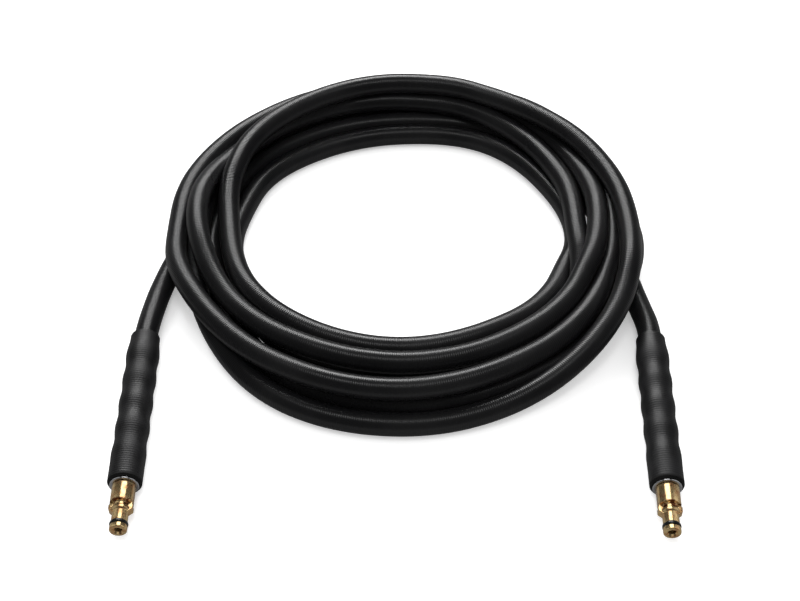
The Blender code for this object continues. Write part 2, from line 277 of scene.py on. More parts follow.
@dataclass(frozen=True)
class SleeveRubber:
    """Matte charcoal moulded rubber with a fine eroded grain, and a painted dark reflection: the rim
    at its mouth is coloured near-black.
    """

    colour: Point = (0.0045, 0.0045, 0.005)
    worn: Point = (0.008, 0.008, 0.009)
    # Painted dark reflection: the near-black colour of the rim at the mouth, with the rim's width
    # and soft edge below.
    black: Point = (0.002, 0.002, 0.002)
    rim: float = 0.0022
    rim_blur: float = 0.0004
    rim_roughness: float = 0.3
    line_pitch: float = 0.0016
    line_depth: float = 0.00003
    grain_depth: float = 0.00004
    roughness: tuple[float, float] = (0.44, 0.56)

    def material(self) -> bpy.types.Material:
        """Return the finished material."""
        surface = Surface(Slot.SLEEVE.value)
        bench = surface.bench
        cloud = surface.noise(60.0, 4.0)
        grain = surface.noise(1400.0, 3.0, 0.6)
        lines = surface.waves(self.line_pitch)
        # The rim mask marks where the painted dark reflection lies at the mouth; it also makes the
        # rim rougher.
        rim = bench.span(surface.along(), SLEEVE_LENGTH - self.rim - self.rim_blur,
                         SLEEVE_LENGTH - self.rim)
        colour = surface.blend(bench.span(cloud, 0.4, 0.7), self.colour, self.worn)
        rough = bench.span(cloud, 0.3, 0.7, *self.roughness)
        duller = bench.math("MULTIPLY", rim, self.rim_roughness)
        surface.set(Base_Color=surface.blend(rim, colour, self.black), IOR=1.42,
                    Roughness=bench.math("ADD", rough, duller))
        surface.bump((lines, self.line_depth), (grain, self.grain_depth))
        return surface.material


@dataclass(frozen=True)
class SealRubber:
    """Smooth black rubber of the sealing rings, with a film of grease."""

    colour: Point = (0.008, 0.008, 0.008)
    smear_depth: float = 0.00001
    roughness: tuple[float, float] = (0.16, 0.30)

    def material(self) -> bpy.types.Material:
        """Return the finished material."""
        surface = Surface(Slot.SEAL.value)
        smear = surface.noise(500.0, 2.0)
        surface.set(Base_Color=(*self.colour, 1.0), IOR=1.5,
                    Roughness=surface.bench.span(smear, 0.3, 0.7, *self.roughness))
        surface.bump((smear, self.smear_depth))
        return surface.material


@dataclass(frozen=True)
class TurnedBrass:
    """Polished brass with turning lines, a coppery film in blotches, and painted dark reflections in
    spots around the waist's hollow.
    """

    colour: Point = (0.84, 0.62, 0.31)
    tarnish: Point = (0.62, 0.33, 0.15)
    # Painted dark reflection: its colour, then where it lies along the plug and how softly it ends.
    groove_dark_reflection: Point = (0.16, 0.055, 0.02)
    hollow: tuple[float, float] = (SLEEVE_LENGTH + 0.0128, SLEEVE_LENGTH + 0.0164)
    hollow_blur: tuple[float, float] = (0.0004, 0.0006)
    line_pitch: float = 0.00022
    line_depth: float = 0.000002
    roughness: tuple[float, float] = (0.15, 0.26)

    def material(self) -> bpy.types.Material:
        """Return the finished material."""
        surface = Surface(Slot.BRASS.value)
        bench = surface.bench
        along = surface.along()
        lines = surface.waves(self.line_pitch)
        film = surface.noise(260.0, 3.0)
        (low, high), (out, into) = self.hollow, self.hollow_blur
        # Painted dark reflection: noisy spots inside the waist's hollow take the dark brown colour.
        inside = bench.math("MULTIPLY", bench.span(along, low - out, low + into),
                            bench.span(along, high - into, high + out, 1.0, 0.0))
        painted_reflection = bench.math("MULTIPLY", inside, bench.span(surface.noise(330.0, 1.0), 0.38, 0.56))
        coppery = surface.blend(bench.span(film, 0.40, 0.72), self.colour, self.tarnish)
        surface.set(Base_Color=surface.blend(painted_reflection, coppery, self.groove_dark_reflection), Metallic=0.94,
                    Roughness=bench.span(film, 0.3, 0.75, *self.roughness))
        surface.bump((lines, self.line_depth))
        return surface.material


@dataclass(frozen=True)
class PlatedSteel:
    """Bright plated steel of the ferrules."""

    colour: Point = (0.66, 0.66, 0.67)
    dull: Point = (0.46, 0.46, 0.47)
    film_depth: float = 0.00001
    roughness: tuple[float, float] = (0.16, 0.28)

    def material(self) -> bpy.types.Material:
        """Return the finished material."""
        surface = Surface(Slot.STEEL.value)
        film = surface.noise(400.0, 3.0)
        surface.set(Base_Color=surface.blend(film, self.colour, self.dull), Metallic=1.0,
                    Roughness=surface.bench.span(film, 0.3, 0.7, *self.roughness))
        surface.bump((film, self.film_depth))
        return surface.material


class Workshop:
    """Keeps the finishes, links the pieces and ties each one to the frame."""

    def __init__(self) -> None:
        """Make the collection and every finish."""
        self.collection = bpy.data.collections.new("hose_pieces")
        bpy.context.scene.collection.children.link(self.collection)
        finishes = (HoseRubber(), SleeveRubber(), SealRubber(), TurnedBrass(), PlatedSteel())
        self.finishes = {slot: finish.material() for slot, finish in zip(Slot, finishes)}

    def hold(self, name: str, mesh: bpy.types.Mesh) -> bpy.types.Object:
        """Link a mesh as an object at the origin.

        Args:
            name: The object's name.
            mesh: Its mesh, with its place in it.

        Returns:
            The new object.
        """
        mesh.name = name
        piece = bpy.data.objects.new(name, mesh)
        self.collection.objects.link(piece)
        return piece

    def baked(self, piece: bpy.types.Object) -> bpy.types.Mesh:
        """Turn an object into the plain mesh that its modifiers leave, and drop the object.

        Args:
            piece: The object with its modifiers.

        Returns:
            The mesh.
        """
        bpy.context.view_layer.update()
        shaped = piece.evaluated_get(bpy.context.evaluated_depsgraph_get())
        mesh = bpy.data.meshes.new_from_object(shaped)
        piece.modifiers.clear()
        bpy.data.objects.remove(piece, do_unlink=True)
        return mesh

    def dress(self, piece: bpy.types.Object, slot: Slot, *nodes: str) -> bpy.types.Object:
        """Give a piece its finish and let it stand for its CAD nodes.

        Args:
            piece: The finished piece.
            slot: The record's material slot.
            *nodes: The CAD nodes that it replaces.

        Returns:
            The same piece.
        """
        piece.data.materials.clear()
        piece.data.materials.append(self.finishes[slot])
        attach(piece, "root")
        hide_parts(*nodes)
        log.info("%s: %d faces", piece.name, len(piece.data.polygons))
        return piece


@dataclass
class GeometryTree:
    """A Geometry Nodes tree with named inputs for its sizes."""

    name: str
    bench: NodeBench = field(init=False)
    start: bpy.types.Node = field(init=False)
    identifiers: dict[str, str] = field(init=False, default_factory=dict)

    def __post_init__(self) -> None:
        """Make the tree with a geometry going in and out."""
        tree = bpy.data.node_groups.new(self.name, "GeometryNodeTree")
        tree.interface.new_socket("Geometry", in_out="INPUT", socket_type="NodeSocketGeometry")
        tree.interface.new_socket("Geometry", in_out="OUTPUT", socket_type="NodeSocketGeometry")
        self.bench = NodeBench(tree)

    def size(self, name: str, kind: str = "NodeSocketFloat") -> None:
        """Add a named input.

        Args:
            name: The input's name.
            kind: Its socket type.
        """
        socket = self.bench.tree.interface.new_socket(name, in_out="INPUT", socket_type=kind)
        self.identifiers[name] = socket.identifier

    def open(self) -> Socket:
        """Add the input node, once every size is named.

        Returns:
            The socket of the geometry that comes in.
        """
        self.start = self.bench.add("NodeGroupInput")
        return self.start.outputs["Geometry"]

    def close(self, geometry: Socket, material: bpy.types.Material) -> None:
        """Realise the result, give it its material and send it out.

        Args:
            geometry: The result's socket.
            material: Its finish.
        """
        realise = self.bench.add("GeometryNodeRealizeInstances")
        paint = self.bench.add("GeometryNodeSetMaterial")
        end = self.bench.add("NodeGroupOutput")
        paint.inputs["Material"].default_value = material
        self.bench.feed(realise.inputs[0], geometry)
        self.bench.feed(paint.inputs["Geometry"], realise.outputs[0])
        self.bench.feed(end.inputs[0], paint.outputs[0])

    def apply(self, piece: bpy.types.Object, **sizes: float) -> None:
        """Put the tree on an object with these sizes.

        Args:
            piece: The object that the tree works on.
            **sizes: The inputs' values; an underscore stands for a space in a name.
        """
        modifier = piece.modifiers.new(self.name, "NODES")
        modifier.node_group = self.bench.tree
        for name, value in sizes.items():
            modifier[self.identifiers[name.replace("_", " ")]] = value


def rounded(corners: Sequence[tuple[float, float, float]], steps: int = 5) -> list[Vector]:
    """Round the corners of an open outline.

    Args:
        corners: Each corner's radius from the axis, its height and its rounding radius.
        steps: Segments of each rounding.

    Returns:
        The outline's points, as (radius, height).
    """
    places = [Vector(corner[:2]) for corner in corners]
    outline = [places[0]]
    for before, at, after, corner in zip(places, places[1:], places[2:], corners[1:]):
        back, on = (before - at), (after - at)
        turn = back.angle(on)
        reach = min(corner[2] / math.tan(turn / 2), 0.48 * back.length, 0.48 * on.length)
        if corner[2] <= 0.0 or turn > math.pi - 0.02:
            outline.append(at)
            continue
        first, last = at + back.normalized() * reach, at + on.normalized() * reach
        for i in range(steps + 1):
            t = i / steps
            outline.append(first * (1 - t) ** 2 + at * 2 * t * (1 - t) + last * t ** 2)
    outline.append(places[-1])
    return outline


def lathe(outline: Iterable[Vector], segments: int, placing: Matrix,
          shape: Callable[[Vector], Vector] = lambda point: point) -> bpy.types.Mesh:
    """Turn a closed outline about the local Z axis.

    Args:
        outline: Points of (radius, height), down the outer side and back up the inner side.
        segments: Steps of the turn.
        placing: The piece's place in the row frame.
        shape: A last change to each point, in the local frame.

    Returns:
        The mesh in place, with the height stored as its "along" attribute.
    """
    ring = list(outline)
    form = bmesh.new()
    along = form.verts.layers.float.new("along")
    rows = []
    for point in ring:
        row = []
        for i in range(segments):
            a = 2 * math.pi * i / segments
            local = shape(Vector((point.x * math.cos(a), point.x * math.sin(a), point.y)))
            vertex = form.verts.new(placing @ local)
            vertex[along] = point.y
            row.append(vertex)
        rows.append(row)
    for low, high in zip(rows, rows[1:] + rows[:1]):
        for i in range(segments):
            j = (i + 1) % segments
            form.faces.new((low[i], low[j], high[j], high[i]))
    bmesh.ops.recalc_face_normals(form, faces=form.faces)
    mesh = bpy.data.meshes.new("turned")
    form.to_mesh(mesh)
    form.free()
    mesh.shade_smooth()
    mesh.set_sharp_from_angle(angle=math.radians(38))
    return mesh


@dataclass(frozen=True)
class Settling:
    """How the laid-out hose comes to rest; lengths are in hose diameters."""

    rounds: int = 400
    quick_rounds: int = 60
    held: int = 14
    touch: float = 0.985
    reach: float = 1.45
    apart: int = 8
    refresh: int = 8
    spreads: int = 3
    spread: float = 0.45
    keep: Point = (0.97, 0.97, 0.98)
    sink: float = 0.002
    pushes: int = 2
    sharing: float = 0.6
    floor: float = 0.5


@dataclass
class CoilRoute:
    """The hose's centre line: its two tails and the lanes that its turns follow.

    A lane is a radius and a height, both in hose diameters, at every twelfth of a turn. The turns
    are listed in the order in which the hose runs, anticlockwise from its right-hand end.
    """

    middle: Vector
    coil_radius: float = 0.1645
    step: float = 0.3
    curve_steps: int = 30
    lead_in: float = 0.004
    settling: Settling = Settling()
    lanes: tuple[tuple[tuple[float, float], ...], ...] = (
        ((9.92, .5), (9.22, .5), (9.42, .5), (8.95, .5), (8.95, .5), (9.1, .5),
         (9.0, .5), (9.0, .5), (9.7, .5), (9.8, .5), (9.9, .5), (10.4, .9)),
        ((10.34, 1.15), (10.4, .5), (10.4, .5), (9.98, .5), (9.95, .5), (10.0, .6),
         (9.35, 1.35), (9.95, .7), (10.8, .5), (10.9, .5), (10.74, .8), (10.76, 1.8)),
        ((10.2, 2.4), (9.9, 2.25), (9.72, 2.2), (9.75, 2.15), (9.42, 2.25), (9.08, 2.1),
         (8.04, 1.6), (7.92, 1.5), (7.53, 1.4), (7.4, 1.35), (7.4, 1.3), (7.6, .85)),
        ((8.15, .5), (8.14, .5), (8.32, .5), (7.9, .5), (7.87, .5), (8.2, .5),
         (8.2, .5), (8.15, .5), (8.32, .5), (8.0, .5), (8.0, .5), (8.5, .6)),
        ((7.98, 1.5), (8.62, 1.5), (9.27, 1.45), (9.62, 1.4), (9.65, 1.4), (9.65, 1.6),
         (9.45, 2.35), (8.95, 1.6), (8.42, 1.5), (8.25, 1.45), (8.3, 1.45), (8.68, 1.6)),
        ((9.05, 2.1), (9.5, 1.7), (10.05, 1.4), (10.55, 1.37), (10.6, 1.45), (10.52, 1.4),
         (10.25, 1.4), (10.07, 1.4), (9.88, 1.48), (9.8, 1.45), (9.6, 1.4), (9.7, 1.45)),
        ((9.93, 1.55), (10.38, 1.4), (10.92, 1.1), (10.95, .5), (10.9, .5), (10.9, .5)),
    )
    left_tail: tuple[Point, ...] = (
        (-0.0145, -0.0120, 0.00725),
        (-0.0105, -0.0255, 0.00725),
        (-0.0075, -0.0380, 0.00725),
        (-0.0049, -0.0510, 0.00735),
        (-0.0032, -0.0645, 0.00800),
        (-0.0023, -0.0770, 0.00950),
    )
    right_tail: tuple[Point, ...] = (
        (-0.0185, -0.0120, 0.00725),
        (-0.0173, -0.0240, 0.00725),
        (-0.0155, -0.0370, 0.00725),
        (-0.0132, -0.0510, 0.00735),
        (-0.0107, -0.0650, 0.00800),
        (-0.0089, -0.0780, 0.00950),
    )
    left_start: Point = (-0.0017, -0.0910, 0.0105)
    right_start: Point = (-0.0085, -0.0927, 0.0105)
    left_heading: float = -88.7
    right_heading: float = -92.4

    def beside(self, point: Point, end: End) -> Vector:
        """Put a tail's point in place.

        Args:
            point: Its distance outside the coil, its Y and its height.
            end: The side that it is on.

        Returns:
            The point in the row frame.
        """
        x = end.sign * (self.coil_radius + point[0])
        return self.middle + Vector((x, point[1], point[2]))

    def axis(self, end: End) -> Matrix:
        """Work out the placing of an end's fittings, whose local +Z runs out along the sleeve.

        Args:
            end: Which end.

        Returns:
            The placing in the row frame.
        """
        start = self.left_start if end is End.LEFT else self.right_start
        heading = self.left_heading if end is End.LEFT else self.right_heading
        turn = Matrix.Rotation(math.radians(heading), 4, "Z") @ Matrix.Rotation(math.pi / 2, 4, "Y")
        return Matrix.Translation(self.beside(start, end)) @ turn

    def _polar(self, place: Vector, turn: int) -> tuple[float, float, float]:
        """Express a place about the coil's middle.

        Args:
            place: The place in the row frame.
            turn: How many whole turns lie before it.

        Returns:
            Its azimuth in degrees, and its radius and height in hose diameters.
        """
        away = (place - self.middle) / HOSE_DIAMETER
        azimuth = math.degrees(math.atan2(away.y, away.x))
        return (azimuth + 360.0 * turn, math.hypot(away.x, away.y), away.z)

    def _controls(self) -> np.ndarray:
        """Return the control points of the free hose, as (azimuth, radius, height)."""
        first = Vector((0, 0, self.lead_in))
        right = [self._polar(self.axis(End.RIGHT) @ first, 0)]
        right += [self._polar(self.beside(p, End.RIGHT), 0) for p in self.right_tail[::-1]]
        turns = [(360.0 * k + 30.0 * i, radius, height)
                 for k, lane in enumerate(self.lanes) for i, (radius, height) in enumerate(lane)]
        last = len(self.lanes)
        left = [self._polar(self.beside(p, End.LEFT), last) for p in self.left_tail]
        left += [self._polar(self.axis(End.LEFT) @ first, last)]
        return np.array(right + turns + left)

    @staticmethod
    def _smooth(points: np.ndarray, steps: int) -> np.ndarray:
        """Draw a smooth line through points that may be unevenly spaced in azimuth.

        Args:
            points: The points, as (azimuth, radius, height).
            steps: Parts that each stretch is cut into.

        Returns:
            The line's points, in the same terms.
        """
        azimuth, places = points[:, 0], points[:, 1:]
        span = np.diff(azimuth)[:, None]
        slope = np.diff(places, axis=0) / span
        inner = (slope[1:] * span[:-1] + slope[:-1] * span[1:]) / (span[:-1] + span[1:])
        slope = np.vstack([slope[:1], inner, slope[-1:]])
        t = np.linspace(0, 1, steps, endpoint=False)[:, None]
        parts = []
        for i, width in enumerate(span[:, 0]):
            first, last = places[i], places[i + 1]
            bend = (last - first, slope[i] * width, slope[i + 1] * width)
            curve = first + bend[1] * t + (3 * bend[0] - 2 * bend[1] - bend[2]) * t ** 2
            curve = curve + (bend[1] + bend[2] - 2 * bend[0]) * t ** 3
            parts.append(np.hstack([azimuth[i] + width * t, curve]))
        return np.vstack(parts + [points[-1:]])

    @staticmethod
    def _even(points: np.ndarray, step: float) -> np.ndarray:
        """Space a line's points evenly.

        Args:
            points: The line.
            step: The distance between two points.

        Returns:
            The evenly spaced points.
        """
        length = np.concatenate([[0.0], np.cumsum(np.linalg.norm(np.diff(points, axis=0), axis=1))])
        at = np.linspace(0.0, length[-1], round(length[-1] / step) + 1)
        return np.stack([np.interp(at, length, points[:, k]) for k in range(3)], axis=1)

    def _settle(self, laid: np.ndarray, rounds: int) -> np.ndarray:
        """Let the turns come to rest on the floor and on each other.

        Each round spreads the hose's shift from its lane along its length, as a stiff hose does,
        draws it a little back and down, and pushes stretches that lie in each other apart.

        Args:
            laid: The line as laid out, in hose diameters.
            rounds: How many rounds are run.

        Returns:
            The settled line.
        """
        rule = self.settling
        line, count, held = laid.copy(), len(laid), rule.held
        for turn in range(rounds):
            if turn % rule.refresh == 0:
                gaps = ((line[:, None, :] - line[None, :, :]) ** 2).sum(-1)
                first, second = np.where(np.triu(gaps < rule.reach ** 2, k=rule.apart))
            shift = line - laid
            for _ in range(rule.spreads):
                spread = shift.copy()
                between = 0.5 * (shift[:-2] + shift[2:])
                spread[1:-1] += rule.spread * (between - shift[1:-1])
                shift = spread
            line = laid + shift * rule.keep
            line[held:-held, 2] -= rule.sink
            for _ in range(rule.pushes):
                apart = line[second] - line[first]
                length = np.sqrt((apart ** 2).sum(1))
                near = length < rule.touch
                if not near.any():
                    break
                push = 0.5 * (rule.touch - length[near]) / np.maximum(length[near], 1e-6)
                push = push[:, None] * apart[near]
                a, b = first[near], second[near]
                moved = np.zeros_like(line)
                np.add.at(moved, a, -push)
                np.add.at(moved, b, push)
                share = np.bincount(np.concatenate([a, b]), minlength=count)
                line += moved / np.maximum(1.0, share * rule.sharing)[:, None]
                line[:, 2] = np.maximum(line[:, 2], rule.floor)
                line[:held], line[-held:] = laid[:held], laid[-held:]
        return line

    def points(self) -> list[Vector]:
        """Return the whole centre line in the row frame, from the right ferrule to the left one."""
        polar = self._smooth(self._controls(), self.curve_steps)
        azimuth = np.radians(polar[:, 0])
        laid = np.stack([polar[:, 1] * np.cos(azimuth), polar[:, 1] * np.sin(azimuth),
                         polar[:, 2]], axis=1)
        rounds = self.settling.rounds
        free = self._settle(self._even(laid, self.step), rounds)
        middle = np.array(self.middle)
        line = [Vector(p) for p in free * HOSE_DIAMETER + middle]
        inside = SLEEVE_LENGTH + FERRULE_PROUD - FERRULE_FACE - CLEARANCE
        heights = np.linspace(self.lead_in, inside, 24)[1:]
        right = [self.axis(End.RIGHT) @ Vector((0, 0, h)) for h in heights[::-1]]
        left = [self.axis(End.LEFT) @ Vector((0, 0, h)) for h in heights]
        return right + line + left


@dataclass
class Hose:
    """The hose itself: one tube swept along its route."""

    route: CoilRoute
    sides: int = 32
    edge_angle: float = 60.0

    def sweep(self, material: bpy.types.Material) -> GeometryTree:
        """Return the tree that sweeps a round section along a curve.

        Args:
            material: The hose's finish.

        Returns:
            The tree, with inputs for the diameter and the sides.
        """
        tree = GeometryTree("Hose sweep")
        tree.size("Diameter")
        tree.size("Sides", "NodeSocketInt")
        geometry, bench = tree.open(), tree.bench
        store = bench.add("GeometryNodeStoreNamedAttribute", data_type="FLOAT", domain="POINT")
        store.inputs["Name"].default_value = "along"
        bench.feed(store.inputs["Geometry"], geometry)
        bench.feed(store.inputs["Value"], bench.add("GeometryNodeSplineParameter").outputs["Length"])
        ring = bench.add("GeometryNodeCurvePrimitiveCircle", mode="RADIUS")
        bench.feed(ring.inputs["Resolution"], tree.start.outputs["Sides"])
        bench.feed(ring.inputs["Radius"], bench.math("DIVIDE", tree.start.outputs["Diameter"], 2.0))
        tube = bench.add("GeometryNodeCurveToMesh")
        bench.feed(tube.inputs["Curve"], store.outputs["Geometry"])
        bench.feed(tube.inputs["Profile Curve"], ring.outputs["Curve"])
        tube.inputs["Fill Caps"].default_value = True
        tree.close(tube.outputs["Mesh"], material)
        return tree

    def build(self, workshop: Workshop) -> tuple[bpy.types.Object, list[Vector]]:
        """Sweep the hose.

        Args:
            workshop: The finishes and the collection.

        Returns:
            The hose, and the points that it follows.
        """
        line = self.route.points()
        data = bpy.data.curves.new("hose_line", "CURVE")
        data.dimensions = "3D"
        spline = data.splines.new("POLY")
        spline.points.add(len(line) - 1)
        spline.points.foreach_set("co", [c for p in line for c in (*p, 1.0)])
        curve = bpy.data.objects.new("hose_line", data)
        workshop.collection.objects.link(curve)
        self.sweep(workshop.finishes[Slot.HOSE]).apply(curve, Diameter=HOSE_DIAMETER,
                                                       Sides=self.sides)
        hose = workshop.hold("pressure_hose", workshop.baked(curve))
        hose.data.shade_smooth()
        hose.data.set_sharp_from_angle(angle=math.radians(self.edge_angle))
        workshop.dress(hose, Slot.HOSE, "hose_coil", "hose_tail_left", "hose_tail_right")
        return hose, line


@dataclass
class BendSleeve:
    """The moulded rubber sleeve that guards the hose's end against sharp bends."""

    thin: float = 0.0183
    crest: float = 0.0206
    valley: float = 0.0191
    mouth: float = 0.0202
    shoulder: float = 0.0025
    waves: int = 5
    pitch: float = 0.0191
    first_crest: float = 0.0164
    chamfer: float = 0.0014
    seat: float = 0.0171
    seat_depth: float = 0.0223
    segments: int = 72

    def radius(self, at: float) -> float:
        """Work out the outer radius.

        Args:
            at: The distance from the thin end.

        Returns:
            The radius there.
        """
        last = self.first_crest + (self.waves - 1) * self.pitch
        if self.first_crest <= at <= last:
            wave = 0.5 + 0.5 * math.cos(2 * math.pi * (at - self.first_crest) / self.pitch)
            return (self.valley + (self.crest - self.valley) * wave) / 2
        if at < self.first_crest:
            share = max(0.0, at - self.shoulder) / (self.first_crest - self.shoulder)
            start, finish = self.thin, self.crest
        else:
            share = min(1.0, (at - last) / (self.pitch / 2))
            start, finish = self.crest, self.mouth
        return (start + (finish - start) * (0.5 - 0.5 * math.cos(math.pi * share))) / 2

    def outline(self) -> list[Vector]:
        """Return the sleeve's outline, from its mouth down its outer side and back inside."""
        bore, seat = HOSE_DIAMETER / 2 + CLEARANCE, self.seat / 2 + CLEARANCE
        lip = self.thin / 2
        body = SLEEVE_LENGTH - self.chamfer
        face = self.radius(body) - 0.7 * self.chamfer
        mouth = rounded([(seat, SLEEVE_LENGTH, 0.0), (face, SLEEVE_LENGTH, 0.0006),
                         (self.radius(body), body, 0.0009), (self.radius(body), body - 0.002, 0.0)])
        side = [Vector((self.radius(at), at)) for at in np.linspace(body - 0.003, 0.0035, 96)]
        foot = rounded([(lip, 0.0030, 0.0), (lip, 0.0, 0.0011), (bore, 0.0, 0.0)])
        inner = [Vector((bore, SLEEVE_LENGTH - self.seat_depth)),
                 Vector((seat, SLEEVE_LENGTH - self.seat_depth))]
        return mouth + side + foot + inner

    def build(self, workshop: Workshop, end: End, placing: Matrix) -> bpy.types.Object:
        """Turn the sleeve of one end.

        Args:
            workshop: The finishes and the collection.
            end: Which end.
            placing: The end's placing.

        Returns:
            The finished piece.
        """
        piece = workshop.hold(f"sleeve_{end.value}", lathe(self.outline(), self.segments, placing))
        return workshop.dress(piece, Slot.SLEEVE, f"bend_sleeve_{end.value}")


@dataclass
class Ferrule:
    """The steel cup that is pressed over the hose's end."""

    length: float = 0.0230
    diameter: float = 0.0171
    stem: float = 0.0084
    edge: float = 0.0007
    dish: float = 0.0003
    dish_radii: tuple[float, float] = (0.0062, 0.0066)
    break_edge: float = 0.0002
    segments: int = 72

    def build(self, workshop: Workshop, end: End, placing: Matrix) -> bpy.types.Object:
        """Turn the ferrule of one end.

        Args:
            workshop: The finishes and the collection.
            end: Which end.
            placing: The end's placing.

        Returns:
            The finished piece.
        """
        top = SLEEVE_LENGTH + FERRULE_PROUD
        out, stem = self.diameter / 2, self.stem / 2 + CLEARANCE
        hose = HOSE_DIAMETER / 2 + CLEARANCE
        (inner, outer), soft = self.dish_radii, self.break_edge
        outline = rounded([
            (stem, top - FERRULE_FACE, 0.0), (stem, top - self.dish, soft),
            (inner, top - self.dish, soft), (outer, top, soft), (out, top, self.edge),
            (out, top - self.length, soft), (hose, top - self.length, 0.0),
            (hose, top - FERRULE_FACE, 0.0)])
        piece = workshop.hold(f"hose_ferrule_{end.value}", lathe(outline, self.segments, placing))
        return workshop.dress(piece, Slot.STEEL, f"ferrule_{end.value}")


@dataclass
class BayonetPlug:
    """The turned brass plug, with its flats, its saddle collar and its two lugs."""

    stem: float = 0.0084
    barrel: float = 0.0138
    barrel_length: float = 0.0123
    flat_depth: float = 0.0004
    waist: float = 0.0098
    waist_length: float = 0.0033
    collar: float = 0.0116
    collar_length: float = 0.0017
    neck: float = 0.0094
    neck_length: float = 0.0071
    groove: float = 0.0070
    groove_length: float = 0.0027
    tip: float = 0.0102
    tip_length: float = 0.0031
    bore: float = 0.0044
    sink: float = 0.0064
    sink_depth: float = 0.0011
    lug_width: float = 0.0052
    lug_span: float = 0.0137
    lug_length: float = 0.0028
    lug_ramp: float = 0.0019
    web_span: float = 0.0128
    web_length: float = 0.0024
    web_root: float = 0.0010
    lug_inset: float = 0.0008
    lug_bevel: float = 0.00035
    segments: int = 96

    def stations(self) -> dict[str, float]:
        """Return where the plug's steps lie along the sleeve's axis."""
        at, height = {}, SLEEVE_LENGTH + FERRULE_PROUD
        for name, length in (("face", CLEARANCE), ("barrel", self.barrel_length),
                             ("waist", self.waist_length), ("collar", self.collar_length),
                             ("neck", self.neck_length), ("groove", self.groove_length),
                             ("tip", self.tip_length)):
            height += length
            at[name] = height
        return at

    def outline(self) -> list[Vector]:
        """Return the plug's outline, down its outer side and back up its bore."""
        at = self.stations()
        foot = at["face"] - CLEARANCE - FERRULE_FACE
        return rounded([
            (self.bore / 2, at["tip"] - self.sink_depth, 0.0), (self.sink / 2, at["tip"], 0.0003),
            (self.tip / 2, at["tip"], 0.0013), (self.tip / 2, at["groove"], 0.0002),
            (self.groove / 2, at["groove"], 0.0002), (self.groove / 2, at["neck"], 0.0002),
            (self.neck / 2, at["neck"], 0.0002), (self.neck / 2, at["collar"] + 0.0004, 0.0008),
            (self.collar / 2, at["collar"], 0.0004), (self.collar / 2, at["waist"], 0.0004),
            (self.waist / 2, at["waist"] - 0.0004, 0.0012),
            (self.waist / 2, at["barrel"] + 0.0003, 0.0012),
            (self.barrel / 2, at["barrel"], 0.0004), (self.barrel / 2, at["face"], 0.0002),
            (self.stem / 2, at["face"], 0.0), (self.stem / 2, foot, 0.0), (self.bore / 2, foot, 0.0),
        ])

    def flatten(self, point: Vector) -> Vector:
        """Hold a point of the barrel back to its two flats.

        Args:
            point: A point of the plug, in its local frame.

        Returns:
            The same point, moved where it lies past a flat.
        """
        at = self.stations()
        if at["face"] - 0.0001 <= point.z <= at["barrel"] + 0.0001:
            limit = self.barrel / 2 - self.flat_depth
            point.y = max(-limit, min(limit, point.y))
        return point

    def lug(self, side: int, placing: Matrix) -> bpy.types.Mesh:
        """Shape one lug with its web, as a bevelled block that is rooted in the plug's wall.

        Args:
            side: The side that it is on, -1 or 1.
            placing: The end's placing.

        Returns:
            The lug's mesh in place.
        """
        at = self.stations()
        root = at["barrel"] - self.web_root
        top = root + self.web_length
        inner = self.bore / 2 + self.lug_inset
        outline = [(inner, root), (self.web_span / 2, root), (self.web_span / 2, top),
                   (self.lug_span / 2, top), (self.lug_span / 2, top + self.lug_length),
                   (self.neck / 2 - 0.0002, top + self.lug_length + self.lug_ramp),
                   (inner, top + self.lug_length + self.lug_ramp)]
        form = bmesh.new()
        face = form.faces.new([form.verts.new((-self.lug_width / 2, side * y, z))
                               for y, z in outline])
        walls = bmesh.ops.extrude_face_region(form, geom=[face])
        moved = [v for v in walls["geom"] if isinstance(v, bmesh.types.BMVert)]
        bmesh.ops.translate(form, vec=(self.lug_width, 0.0, 0.0), verts=moved)
        bmesh.ops.bevel(form, geom=form.edges[:], offset=self.lug_bevel, segments=3,
                        affect="EDGES", profile=0.6)
        bmesh.ops.transform(form, matrix=placing, verts=form.verts)
        bmesh.ops.recalc_face_normals(form, faces=form.faces)
        mesh = bpy.data.meshes.new("lug")
        form.to_mesh(mesh)
        form.free()
        mesh.shade_smooth()
        mesh.set_sharp_from_angle(angle=math.radians(50))
        return mesh

    def build(self, workshop: Workshop, end: End, placing: Matrix) -> bpy.types.Object:
        """Turn the plug of one end and set its lugs.

        Args:
            workshop: The finishes and the collection.
            end: Which end.
            placing: The end's placing.

        Returns:
            The finished piece.
        """
        body = lathe(self.outline(), self.segments, placing, self.flatten)
        form = bmesh.new()
        for part in (body, self.lug(-1, placing), self.lug(1, placing)):
            form.from_mesh(part)
        form.to_mesh(body)
        form.free()
        piece = workshop.hold(f"bayonet_plug_{end.value}", body)
        return workshop.dress(piece, Slot.BRASS, f"plug_{end.value}")


@dataclass
class SealingRing:
    """The rubber ring in the plug's groove."""

    outside: float = 0.0108
    inside: float = 0.0071
    height: float = 0.0024
    segments: int = 72

    def build(self, workshop: Workshop, end: End, placing: Matrix, plug: BayonetPlug
              ) -> bpy.types.Object:
        """Turn the sealing ring of one end, in the middle of its plug's groove.

        Args:
            workshop: The finishes and the collection.
            end: Which end.
            placing: The end's placing.
            plug: The plug that it sits on.

        Returns:
            The finished piece.
        """
        at = plug.stations()
        middle = (at["neck"] + at["groove"]) / 2
        centre, reach = (self.outside + self.inside) / 4, (self.outside - self.inside) / 4
        outline = [Vector((centre + reach * math.cos(a), middle - self.height / 2 * math.sin(a)))
                   for a in np.linspace(0, 2 * math.pi, 24, endpoint=False)]
        piece = workshop.hold(f"sealing_ring_{end.value}", lathe(outline, self.segments, placing))
        return workshop.dress(piece, Slot.SEAL, f"plug_o_ring_{end.value}")


